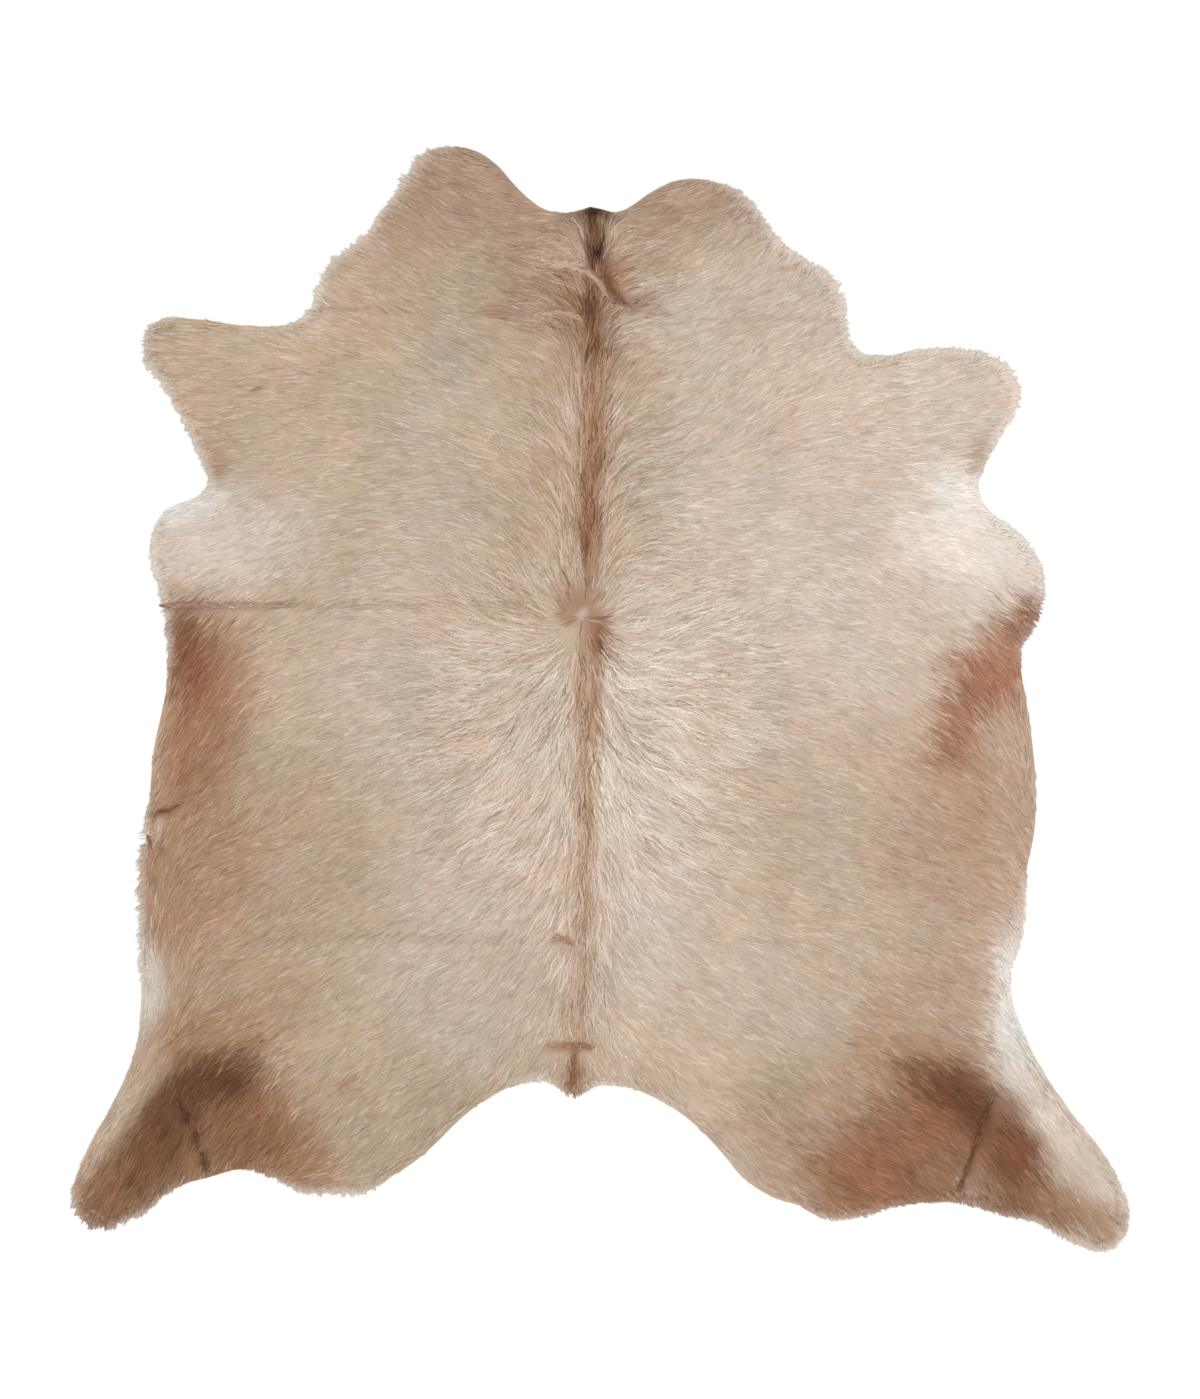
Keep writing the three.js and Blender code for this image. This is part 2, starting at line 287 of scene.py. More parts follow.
# How the hair lies: its direction in degrees from +X, in rows from the neck to the tail
lieColumns = [-900, -750, -550, -300, -110, 70, 300, 550, 750, 880]
lieRows = {
    1080: [150, 150, 140, 158, 172, 20, 40, 60, 60, 60],
    950: [150, 150, 130, 154, 178, 12, 44, 60, 60, 60],
    850: [165, 165, 150, 155, 174, 18, 40, 62, 60, 60],
    750: [172, 170, 166, 154, 172, 14, 24, 26, 20, 15],
    650: [184, 183, 178, 152, 153, 27, 34, 18, 16, 8],
    550: [190, 186, 179, 161, 147, 22, 28, 4, 8, 10],
    450: [195, 188, 190, 176, 143, 16, 15, 0, 4, 5],
    350: [190, 202, 200, 176, 143, 2, 0, -16, -15, -12],
    250: [205, 216, 204, 156, 128, 2, 4, -26, -26, -12],
    150: [240, 225, 202, 168, 160, 20, 12, -21, -32, -60],
    50: [258, 232, 198, 182, 212, -4, 2, -24, -52, -92],
    -60: [254, 232, 200, 188, 232, -32, -14, -24, -52, -84],
    -160: [246, 226, 208, 196, 233, -34, -14, -22, -38, -82],
    -260: [252, 212, 205, 205, 226, -34, -16, -18, -26, -74],
    -360: [268, 212, 209, 204, 230, -42, -18, -21, -22, -80],
    -460: [276, 204, 206, 209, 218, -36, -18, -19, -26, -98],
    -560: [280, 218, 216, 212, 231, -30, -30, -27, -34, -105],
    -660: [252, 206, 220, 210, 236, -36, -28, -29, -30, -70],
    -760: [233, 238, 222, 215, 235, -42, -36, -38, -34, -52],
    -860: [237, 244, 226, 220, 230, -42, -34, -32, -54, -52],
    -960: [240, 238, 200, 210, 225, -42, -48, -26, -58, -52],
    -1060: [243, 238, 215, 215, 225, -42, -42, -32, -38, -42],
}

# The spine's line from the tail to the nape
spine = {"y": [-790, -250, 164, 985], "x": [-50, -32, -30, -8]}

# The whorl on the back, where the hair parts to all sides
whorl = {"x": -36, "y": 164, "reach": 30, "spineReach": 44}

# Where the coat is long and lively (up to 1), and where it is short and smooth (below 0)
lively = table(["x", "y", "rx", "ry", "value"], [
    (-20, 420, 75, 330, 1.0),
    (-35, -330, 80, 420, 1.0),
    (-20, -40, 380, 430, 1.0),
    (-10, 820, 190, 190, 0.7),
    (-20, 400, 300, 300, 0.6),
    (-20, -600, 230, 260, 0.5),
    (-36, 160, 60, 60, -0.6),
    (-810, 345, 150, 110, -1.0),
    (790, 330, 160, 130, -1.0),
    (-915, -600, 60, 140, -1.0),
    (825, -620, 80, 150, -1.0),
    (950, -880, 70, 170, -0.8),
])

# Patches in the coat: how far the markings' edges wander in mm, and how far the tone changes
patches = {
    "wander": {"far": 16, "size": 70},
    "waver": {"far": 6, "size": 22},
    "mottle": {"share": 0.06, "size": 95},
    "fleck": {"share": 0.065, "size": 30},
    "blush": {"share": 0.042, "size": 120},
    "warmth": 0.006,
}

# The coat's colours, as they lie over one another: hex, middle, half width and length, turn, strength
# The right half is lighter than the left: partly the hide's own tone, partly painted sheen from the light
# on one side
leftTone = "#c3ad96"
rightTone = "#d1bfac"
markings = table(["name", "hex", "x", "y", "rx", "ry", "turn", "strength"], [
    ("neck, left", "#ab8f78", -300, 1030, 250, 150, 0, 0.85),
    ("neck, right", "#ac937d", 170, 990, 210, 100, 0, 0.85),
    ("shoulder, left", "#b49f8a", -260, 790, 200, 110, 0, 0.6),
    ("neck beside the mane, left", "#ab8d76", -110, 860, 110, 110, 0, 0.7),
    ("neck beside the mane, right", "#b0937b", 90, 880, 90, 100, 0, 0.6),
    ("neck, right pale", "#cfbcab", 340, 800, 190, 110, 0, 0.6),
    ("foreleg, right", "#ddccbb", 680, 600, 250, 130, 0, 0.9),
    ("foreleg, left", "#ccb8a3", -665, 730, 170, 76, 0, 0.6),
    ("side, right", "#dccbbd", 450, 280, 330, 260, 0, 0.6),
    ("beside the spine, upper", "#baa28a", 0, 500, 160, 290, 0, 0.65),
    ("side, left", "#d3c2b1", -400, 70, 225, 270, 0, 0.65),
    ("loin, left", "#cfc0b2", -280, -450, 190, 330, 0, 0.7),
    ("shoulder, left low", "#c9b7a3", -580, 380, 190, 220, 0, 0.5),
    ("shoulder, left pale", "#cbb9a8", -300, 500, 130, 260, 0, 0.5),
    ("side, right low", "#decec0", 450, -20, 190, 170, 0, 0.5),
    ("rump, right high", "#b3967e", 650, -650, 230, 170, 0, 0.7),
    ("rump, left high", "#ae9075", -730, -610, 190, 120, 0, 0.6),
    ("elbow, left", "#dacdc0", -780, 300, 190, 110, 8, 0.95),
    ("armpit, left", "#e6e1db", -835, 388, 100, 42, 15, 0.95),
    ("elbow, right", "#efe4da", 755, 310, 165, 115, -15, 0.95),
    ("armpit, right", "#f2ebe5", 725, 405, 90, 60, -30, 0.9),
    ("cream beside the spine, right", "#d2c2b2", 85, -200, 130, 380, 0, 0.7),
    ("cream beside the spine, left", "#d0beac", -140, -230, 110, 340, 0, 0.6),
    ("cream, low right", "#dacdc1", 110, -390, 90, 120, 0, 0.5),
    ("low flank, left", "#b3987f", -660, -320, 260, 260, 0, 0.45),
    ("belly, left", "#ac886b", -840, -330, 165, 190, 0, 0.85),
    ("belly, left cream", "#cdb6a0", -884, -256, 11, 22, -8, 0.8),
    ("low flank, right", "#bfa68f", 520, -260, 260, 280, 0, 0.6),
    ("belly, right", "#b8977e", 750, -280, 170, 240, 0, 0.75),
    ("flank, left", "#a2775a", -790, -40, 95, 210, -8, 0.95),
    ("flank, left dark", "#855a41", -825, 95, 58, 105, 5, 0.95),
    ("flank, left rim", "#94694e", -880, 142, 30, 92, 0, 0.8),
    ("edge, left flank", "#cbb098", -908, -46, 38, 110, 0, 0.85),
    ("edge, right belly", "#d5c2b0", 896, -190, 42, 150, 0, 0.8),
    ("edge, right flank", "#bd9c85", 850, -80, 60, 220, 0, 0.6),
    ("flank, right top", "#a07054", 850, 132, 68, 60, -40, 0.92),
    ("flank, right rim", "#8a5a42", 866, 176, 30, 42, -35, 0.75),
    ("flank, right", "#a5745a", 776, 48, 76, 105, -38, 0.95),
    ("flank, right low", "#a97a5f", 708, -60, 48, 110, -14, 0.9),
    ("flank, right lower", "#b28d74", 742, -170, 40, 110, 0, 0.6),
    ("rump, left tan", "#b6a087", -420, -830, 230, 140, 0, 0.6),
    ("rump, right tan", "#a78a70", 405, -835, 195, 150, 0, 0.7),
    ("rump, right pale", "#c9b6a4", 340, -590, 150, 115, 0, 0.6),
    ("rump, middle", "#bea68f", 110, -745, 70, 50, 0, 0.6),
    ("groin, left", "#dcd5cc", -918, -600, 52, 140, 0, 0.95),
    ("groin, right", "#f2efeb", 822, -602, 40, 142, 6, 0.97),
    ("rump, left brown", "#a37959", -640, -915, 130, 95, -28, 0.93),
    ("above the hock, left", "#a5815f", -800, -690, 135, 85, 0, 0.75),
    ("round the hock, left", "#8b6345", -735, -820, 135, 120, -15, 0.92),
    ("hind leg, left", "#744e35", -896, -900, 92, 165, -38, 0.98),
    ("foot, left", "#876144", -985, -1015, 95, 80, 0, 0.92),
    ("hock, left", "#5f3d29", -768, -750, 100, 52, 6, 0.95),
    ("hock, left low", "#694630", -862, -812, 70, 55, 30, 0.85),
    ("under the hock, left", "#8a6548", -795, -925, 85, 46, 22, 0.9),
    ("spot on the leg, left", "#5c4030", -931, -955, 10, 10, 0, 0.8),
    ("hind leg, left outside", "#cbb8a2", -972, -826, 28, 150, -32, 0.85),
    ("hind leg, left upper", "#b8a088", -905, -735, 40, 60, -20, 0.6),
    ("rump, left reddish", "#a07863", -503, -767, 24, 18, 0, 0.55),
    ("rump, right brown", "#966949", 520, -960, 136, 122, 20, 0.95),
    ("above the hock, right", "#a98468", 640, -735, 130, 90, -20, 0.7),
    ("round the hock, right", "#8f6447", 676, -858, 162, 124, 0, 0.95),
    ("under the hock, right", "#92684b", 640, -980, 120, 60, 8, 0.9),
    ("lower leg, right rim", "#94694a", 800, -1010, 70, 30, -12, 0.85),
    ("hind leg, right", "#784c34", 826, -925, 70, 122, 14, 0.97),
    ("lower leg, right", "#966d4d", 910, -1025, 85, 45, -20, 0.85),
    ("foot, right", "#a3886f", 1012, -1058, 56, 52, 0, 0.9),
    ("hock, right", "#6d4733", 688, -775, 100, 50, -22, 0.95),
    ("hock, right inner", "#65402b", 746, -828, 36, 60, 20, 0.8),
    ("hind leg, right top", "#ebe4dc", 832, -705, 56, 95, 20, 0.95),
    ("hind leg, right outside", "#dccfc2", 926, -836, 50, 140, 38, 0.97),
    ("hind leg, right low", "#d3c6b6", 1010, -950, 46, 80, 35, 0.9),
    ("spine, upper", "#a27d61", -12, 560, 28, 150, 1, 0.9),
    ("spine, middle", "#906c55", -20, 370, 27, 160, 1, 0.92),
    ("spine, above the whorl", "#8e6852", -28, 320, 9, 110, 2, 0.8),
    ("above the whorl, left", "#a0775d", -54, 204, 36, 18, -35, 0.5),
    ("whorl", "#a47c63", -44, 182, 50, 34, 0, 0.75),
    ("beside the whorl", "#85532f", -3, 124, 25, 47, -6, 0.93),
    ("whorl slit", "#dbd3cd", -37, 168, 3, 9, 22, 0.95),
    ("spine, lower", "#a58065", -22, 20, 25, 140, 1, 0.88),
    ("spine, loin", "#b39478", -31, -220, 23, 280, 1, 0.75),
    ("spine, rump", "#b69c86", -38, -560, 28, 190, 1, 0.65),
    ("mane, russet", "#8e6043", 22, 842, 30, 44, 0, 0.85),
    ("mane, russet low", "#946b50", 72, 792, 44, 16, -30, 0.5),
    ("mane skirt", "#a98c74", -15, 675, 110, 70, 0, 0.55),
    ("mane, brown", "#8d6850", -24, 780, 74, 84, 0, 0.8),
    ("mane, grey", "#5a3b2a", -20, 780, 19, 42, 0, 0.92),
    ("mane, low", "#84583c", -14, 720, 14, 34, 0, 0.7),
    ("mane, end", "#6b4022", 1, 690, 34, 15, 0, 0.95),
    ("nape, wings", "#7d5f4b", -44, 962, 54, 20, 12, 0.6),
    ("neck stripe", "#6a4329", -10, 917, 20, 64, 2, 0.92),
    ("nape", "#33190b", -6, 970, 33, 28, 0, 0.98),
    ("nape swirl", "#9b8068", 2, 956, 10, 10, 0, 0.8),
    ("dark spot", "#2d1507", -4, 885, 25, 16, 0, 0.98),
    ("fold shade, left", "#a17d62", -190, 766, 54, 9, -3, 0.7),
    ("streak above the whorl", "#744530", -28, 308, 7, 42, 0, 0.85),
    ("spot on the foreleg", "#8d735e", -680, 622, 12, 9, 0, 0.7),
    ("edge, left foreleg", "#a8866d", -765, 470, 30, 40, 0, 0.6),
    ("edge, right foreleg", "#b08f76", 758, 480, 26, 50, 0, 0.7),
    ("tail", "#9a7256", -50, -755, 28, 42, 0, 0.75),
    ("tail fold, red", "#a2724f", -56, -694, 46, 8, 0, 0.7),
    # Painted shade in the belly crease, left
    ("belly crease, left", "#86553a", -882, -226, 26, 9, 12, 0.8),
    ("flank streak, left", "#93674b", -828, -146, 14, 44, 0, 0.6),
])

# Creases and folds: the hair parts along them. The dark colour along each is partly the dark roots that
# show there and partly painted shade in the fold; the pale ones on the ridges are pale hair
creases = table(["name", "x0", "y0", "x1", "y1", "x2", "y2", "half", "dip", "hex", "strength"], [
    ("middle fold, left", -885, 188, -760, 188, -600, 188, 3.5, 0.8, "#8d6c55", 0.6),
    ("middle fold, left on", -640, 188, -400, 187, -90, 184, 4, 0.6, "#a58a73", 0.45),
    ("middle fold, right", 420, 146, 600, 143, 790, 140, 5, 0.6, "#a98d76", 0.35),
    ("shoulder fold, left", -600, 778, -450, 777, -330, 773, 5, 0.6, "#967861", 0.49),
    ("shoulder fold, right", 240, 759, 360, 757, 500, 756, 5, 0.6, "#a28068", 0.46),
    ("loin fold, left", -690, -471, -380, -472, -90, -474, 5, 0.7, "#a08469", 0.4),
    ("loin fold, right", 280, -480, 520, -484, 770, -494, 5, 0.6, "#ab927c", 0.4),
    ("loin mark, left", -98, -474, -76, -478, -54, -490, 5, 0.9, "#94694f", 0.8),
    ("tail fold", -112, -692, -64, -688, -16, -696, 4.5, 0.9, "#8f6449", 0.56),
    ("hock, left", -846, -796, -808, -870, -784, -946, 6.5, 1.0, "#4b2f1f", 0.85),
    ("hock, right", 786, -788, 758, -880, 714, -994, 5.5, 1.0, "#61391f", 0.85),
    ("hock, right upper", 800, -772, 780, -776, 762, -792, 5, 0.9, "#6b4834", 0.45),
    ("belly, left", -886, -228, -864, -222, -842, -212, 6, 1.0, "#7b4b33", 0.9),
    ("belly, left notch", -904, -268, -902, -280, -900, -292, 5, 0.9, "#7f5039", 0.85),
    ("tail", -50, -700, -54, -740, -58, -782, 5, 0.9, "#7f5236", 0.8),
    ("groin, right", 826, -598, 814, -590, 802, -584, 4, 1.0, "#a08f80", 0.48),
    ("mane, left", -180, 812, -110, 820, -55, 862, 6, 1.2, "#8e7059", 0.48),
    ("mane, right", 6, 872, 16, 812, 56, 788, 7, 1.0, "#6f452c", 0.8),
    ("mane, right on", 50, 792, 90, 774, 130, 762, 5, 0.8, "#9c765b", 0.49),
    ("mane ridge", -104, 866, -14, 874, 14, 802, 4, -0.7, "#c9b29c", 0.55),
    ("mane ridge, upper", -128, 880, -80, 872, -30, 868, 3, -0.5, "#c3ab95", 0.52),
    ("mane ridge, low", -140, 764, -62, 786, -34, 752, 3.2, -0.5, "#c4ac95", 0.55),
    ("mane, low left", -150, 742, -100, 752, -62, 744, 5, 1.6, "#8f715b", 0.5),
])


def spineAt(y):
    return np.interp(y, spine["y"], spine["x"])


def lieAt(x, y):
    # Blended from the rows, run in along the spine, and fanned out round the whorl
    rows = sorted(lieRows)
    angles = np.radians(np.array([lieRows[row] for row in rows], float))
    vx, vy = (
        np.array([np.interp(y, rows, column) for column in part(angles).T]) for part in (np.cos, np.sin)
    )
    place = np.interp(x, lieColumns, np.arange(len(lieColumns)))
    first = np.clip(place.astype(int), 0, len(lieColumns) - 2)
    share = place - first
    index = np.arange(len(x))
    dx = vx[first, index] * (1 - share) + vx[first + 1, index] * share
    dy = vy[first, index] * (1 - share) + vy[first + 1, index] * share
    size = np.maximum(np.hypot(dx, dy), 0.05)
    side = x - spineAt(y)
    isUp = smooth((y - whorl["y"]) / 30 + 0.5) * 2 - 1
    near = np.exp(-(side / np.interp(y, [164, 620, 760], [whorl["spineReach"], 44, 18])) ** 2)
    dx = dx / size * (1 - near) + near * 0.35 * side / whorl["spineReach"]
    dy = dy / size * (1 - near) + near * isUp
    gapX, gapY = x - whorl["x"], y - whorl["y"]
    gap = np.maximum(np.hypot(gapX, gapY), 0.5)
    near = np.exp(-(gap / whorl["reach"]) ** 2)
    dx = dx * (1 - near) + near * gapX / gap
    dy = dy * (1 - near) + near * gapY / gap
    return np.arctan2(dy, dx)


def bezierPoints(line, count=14):
    t = np.linspace(0, 1, count)
    corner = [(1 - t) ** 2, 2 * t * (1 - t), t ** 2]
    px, py = (sum(w * line[axis + k] for w, k in zip(corner, "012")) for axis in "xy")
    return px, py, t


def creaseAt(line, x, y):
    # 1 on the line and 0 beside it, running out at both ends
    px, py, t = bezierPoints(line)
    margin = line["half"] * 3
    near = (x > px.min() - margin) & (x < px.max() + margin)
    near &= (y > py.min() - margin) & (y < py.max() + margin)
    value = np.zeros(len(x))
    x, y = x[near], y[near]
    best = np.full(len(x), 1e9)
    along = np.zeros(len(x))
    for i in range(len(px) - 1):
        rx, ry = px[i + 1] - px[i], py[i + 1] - py[i]
        at = np.clip(((x - px[i]) * rx + (y - py[i]) * ry) / (rx * rx + ry * ry), 0, 1)
        gap = np.hypot(x - px[i] - at * rx, y - py[i] - at * ry)
        closer = gap < best
        best[closer] = gap[closer]
        along[closer] = (t[i] + (t[i + 1] - t[i]) * at)[closer]
    ends = np.clip(np.minimum(along, 1 - along) * 7 + 0.25, 0, 1)
    value[near] = np.exp(-(best / line["half"]) ** 2) * ends
    return value


def dipAt(x, y):
    return sum(line["dip"] * creaseAt(line, x, y) for line in creases)


def cloud(x, y, size, seed):
    # Soft uneven patches from about -1 to 1, size millimetres across
    chances = np.random.default_rng(seed).uniform(-1, 1, (2, 160, 160))
    total = 0
    for octave, share in ((0, 0.7), (1, 0.45)):
        u = (x / size + 40.3) * 2 ** octave % 158
        v = (y / size + 40.7) * 2 ** octave % 158
        i, j = u.astype(int), v.astype(int)
        total = total + share * blend(chances[octave], i, j, smooth(u - i), smooth(v - j))
    return total


def livelyAt(x, y):
    value = np.full(len(x), coat["quietTurn"])
    for spot in lively:
        near = np.exp(-(((x - spot["x"]) / spot["rx"]) ** 2 + ((y - spot["y"]) / spot["ry"]) ** 2) ** 1.2)
        target = max(spot["value"], 0.1)
        quiet = near * -spot["value"]
        isQuiet = spot["value"] < 0
        value = value * (1 - quiet) + target * quiet if isQuiet else np.maximum(value, target * near)
    return value


def wallAt(x, y):
    # Strong creases, which the locks beside them don't cross
    strong = [line for line in creases if line["strength"] > coat["partsFrom"]]
    return np.max([creaseAt(line, x, y) for line in strong], axis=0)


def colourAt(x, y, streakX=0, streakY=0):
    # The edges of large markings wander a little, and streaks run out of the markings along the hair
    wx, wy = x, y
    for patch, seed in ((patches["wander"], 3), (patches["waver"], 4)):
        wx = wx + patch["far"] * cloud(x, y, patch["size"], seed)
        wy = wy + patch["far"] * cloud(x, y, patch["size"], seed + 2)
    wx, wy = wx + streakX, wy + streakY
    # Lighter towards the right half: partly the hide's own tone, partly painted sheen
    side = smooth((x + 200) / 400)[:, None]
    tone = toLinear(leftTone) * (1 - side) + toLinear(rightTone) * side
    for mark in markings:
        isSmall = min(mark["rx"], mark["ry"]) < 45
        reach = strands["smallStreak"] * (max(mark["rx"], mark["ry"]) > 35)
        mx, my = (x + reach * streakX, y + reach * streakY) if isSmall else (wx, wy)
        turn = math.radians(mark["turn"])
        u = (mx - mark["x"]) * math.cos(turn) + (my - mark["y"]) * math.sin(turn)
        v = (my - mark["y"]) * math.cos(turn) - (mx - mark["x"]) * math.sin(turn)
        distance = (u / mark["rx"]) ** 2 + (v / mark["ry"]) ** 2
        share = (mark["strength"] * np.exp(-distance ** 1.7))[:, None]
        tone = tone * (1 - share) + toLinear(mark["hex"]) * share
    # Crease colours over the markings: on the dark ones partly painted shade in the fold
    for line in creases:
        share = (line["strength"] * creaseAt(line, x, y))[:, None]
        tone = tone * (1 - share) + toLinear(line["hex"]) * share
    mottle, fleck, blush = (
        patches[name]["share"] * cloud(x, y, patches[name]["size"], seed)
        for name, seed in (("mottle", 11), ("fleck", 12), ("blush", 13))
    )
    value = 1 + mottle + fleck
    red = patches["warmth"] + blush
    return tone * np.stack([value * (1 + red), value * (0.995 - 0.2 * red), value * (1 - 0.6 * red)], 1)


def setColours(mesh, colours):
    layer = mesh.color_attributes.new("coat", "FLOAT_COLOR", "POINT")
    full = np.ones((len(colours), 4))
    full[:, :3] = np.clip(colours, 0, 1)
    layer.data.foreach_set("color", full.ravel().astype(np.float32))


def coatMaterial(name, roughness, specular, grain, shades, relief):
    # The coat's colours at each place, with a fine grain in tone and relief
    material, nodes, bsdf = newMaterial(name, roughness, {"Specular IOR Level": specular})
    place = addNode(nodes, "ShaderNodeTexCoord")
    tone = addNode(nodes, "ShaderNodeAttribute", settings={"attribute_name": "coat"})
    noise = addNode(nodes, "ShaderNodeTexNoise", grain, links={"Vector": place.outputs["Object"]})
    shade = addNode(nodes, "ShaderNodeMapRange", shades, links={"Value": noise.outputs["Fac"]})
    mixed = addNode(nodes, "ShaderNodeVectorMath", settings={"operation": "SCALE"},
                    links={0: tone.outputs["Color"], "Scale": shade.outputs["Result"]})
    bump = addNode(nodes, "ShaderNodeBump", relief, links={"Height": noise.outputs["Fac"]})
    bsdf.id_data.links.new(mixed.outputs["Vector"], bsdf.inputs["Base Color"])
    bsdf.id_data.links.new(bump.outputs["Normal"], bsdf.inputs["Normal"])
    return material


# Skin

# Skin: chrome-tanned hide, hair side up
skin = {
    "thickness": 2.4,
    "cell": 18.0,
    # The undercoat is darker than the hair over it by this factor: painted shade, as it lies under the
    # locks
    "topShade": 0.94,
    # The undercoat lies this far below the lie of the hair
    "undercoatDepth": 1.7,
    # Roots stay this far inside the cut edge
    "marginInside": 1.0,
    "paleRim": 0.6,
    "suede": ("#b9a892", "#d6cabb"),
}


def makeSkinMaterials():
    # Undercoat: the fine short hair on the grain side, seen only between the locks.
    # 1 unit is 1 m; hair about 2 mm apart is 500 to a metre
    top = coatMaterial(
        "undercoat on hide", 0.85, 0.2, {"Scale": 500.0, "Detail": 3.0},
        {"To Min": 0.9, "To Max": 1.06}, {"Strength": 0.3, "Distance": 0.0005},
    )
    # Flesh side: buffed suede, matt and slightly cloudy
    flesh, nodes, bsdf = newMaterial(
        "buffed suede", 0.95, {"Specular IOR Level": 0.15, "Sheen Weight": 0.25},
    )
    place = {"Vector": addNode(nodes, "ShaderNodeTexCoord").outputs["Object"]}
    patchy = {"Scale": 9.0, "Detail": 6.0, "Roughness": 0.65}
    clouds = addNode(nodes, "ShaderNodeTexNoise", patchy, links=place)
    nap = addNode(nodes, "ShaderNodeTexNoise", {"Scale": 700.0, "Detail": 2.0}, links=place)
    ramp = addNode(nodes, "ShaderNodeValToRGB", links={"Fac": clouds.outputs["Fac"]})
    for end, position, colour in zip(ramp.color_ramp.elements, (0.3, 0.75), skin["suede"]):
        end.position = position
        end.color = (*toLinear(colour), 1)
    bump = addNode(nodes, "ShaderNodeBump", {"Strength": 0.5, "Distance": 0.0004},
                   links={"Height": nap.outputs["Fac"]})
    bsdf.id_data.links.new(ramp.outputs["Color"], bsdf.inputs["Base Color"])
    bsdf.id_data.links.new(bump.outputs["Normal"], bsdf.inputs["Normal"])
    return top, flesh


def closestOnEdge(edge, x, y):
    run = np.roll(edge, -1, axis=0) - edge
    at = ((x - edge[:, 0]) * run[:, 0] + (y - edge[:, 1]) * run[:, 1]) / np.maximum((run ** 2).sum(1), 1e-6)
    spots = edge + run * np.clip(at, 0, 1)[:, None]
    return spots[np.argmin((spots[:, 0] - x) ** 2 + (spots[:, 1] - y) ** 2)]


def makeSkin(edge, signed, fringe, under, over):
    width, length = high[0] - low[0], high[1] - low[1]
    bpy.ops.object.select_all(action="DESELECT")
    bpy.ops.mesh.primitive_grid_add(
        x_subdivisions=round(width / skin["cell"]), y_subdivisions=round(length / skin["cell"]), size=1,
    )
    piece = bpy.context.active_object
    piece.name = "hideSkin"
    piece.scale = (width * mm, length * mm, 1)
    bpy.ops.object.transform_apply(location=True, rotation=True, scale=True)
    mesh = bmesh.new()
    mesh.from_mesh(piece.data)
    nearEdge = skin["cell"] * 0.5 * 0.35
    outside = [
        f for f in mesh.faces
        if onGrid(signed, *(np.array([c / mm]) for c in f.calc_center_median()[:2]))[0] < nearEdge
    ]
    bmesh.ops.delete(mesh, geom=outside, context="FACES")
    for vertex in mesh.verts:
        if vertex.is_boundary:
            spot = closestOnEdge(edge, vertex.co.x / mm, vertex.co.y / mm)
            vertex.co.x, vertex.co.y = spot * mm
    bmesh.ops.remove_doubles(mesh, verts=mesh.verts, dist=0.0015)
    mesh.to_mesh(piece.data)
    mesh.free()
    places = pointsOf(piece.data)
    x, y = places[:, 0] / mm, places[:, 1] / mm
    places[:, 2] = (onGrid(under, x, y) + skin["thickness"]) * mm
    piece.data.vertices.foreach_set("co", places.ravel())
    solidify = piece.modifiers.new("thickness", "SOLIDIFY")
    solidify.thickness = skin["thickness"] * mm
    solidify.offset = -1
    solidify.material_offset = 1
    solidify.material_offset_rim = 0
    for material in makeSkinMaterials():
        piece.data.materials.append(material)
    bpy.ops.object.modifier_apply(modifier="thickness")
    bpy.ops.object.shade_smooth_by_angle(angle=math.radians(50))
    places = pointsOf(piece.data)
    x, y = places[:, 0] / mm, places[:, 1] / mm
    # The grain side carries the dense undercoat, which thins out to nothing at the cut edge
    fromFloor = places[:, 2] / mm - onGrid(under, x, y)
    dense = pileTop(x, y, signed, under, over) - skin["undercoatDepth"] - dipAt(x, y)
    isTop = (fromFloor > skin["thickness"] * 0.6) & (onGrid(signed, x, y) > 2)
    places[isTop, 2] = np.maximum(dense, onGrid(under, x, y) + skin["thickness"])[isTop] * mm
    piece.data.vertices.foreach_set("co", places.ravel())
    # Darkened by painted shade, as the undercoat lies under the locks
    tone = colourAt(x, y) * coat["gain"] * skin["topShade"]
    nearRim = smooth(1 - onGrid(signed, x, y) / 7)
    pale = (nearRim * smooth((onGrid(fringe, x, y) - 3) / 5) * skin["paleRim"])[:, None]
    tone = tone * (1 - pale) + toLinear(coat["paleEnd"]) * pale
    setColours(piece.data, np.minimum(tone, coat["brightest"]))
    return piece


# Hair

# Coat: short flat hair in small locks. Lengths and widths in mm
coat = {
    "seed": 20,
    "thickness": 0.75,
    # The locks of a tuft close up by this share of their spread
    "clumpPull": 0.5,
    "wave": 3.4,
    "rootDepth": 0.6,
    "shortest": 7,
    "floorGap": 0.35,
    # The hair itself is darker than the markings' lit colours, by this factor
    "gain": 0.85,
    "brightest": 0.92,
    "quietTurn": 0.35,
    "paleEnd": "#e6e0d9",
    # A lock that would cross the edge or a crease is cut short, at the least to this share
    "leastShare": 0.12,
    # Creases this strong have hair of their own, and stronger ones part the coat
    "partsFrom": 0.5,
    # Locks stop where such a crease is felt by this much
    "wallShare": 0.35,
}

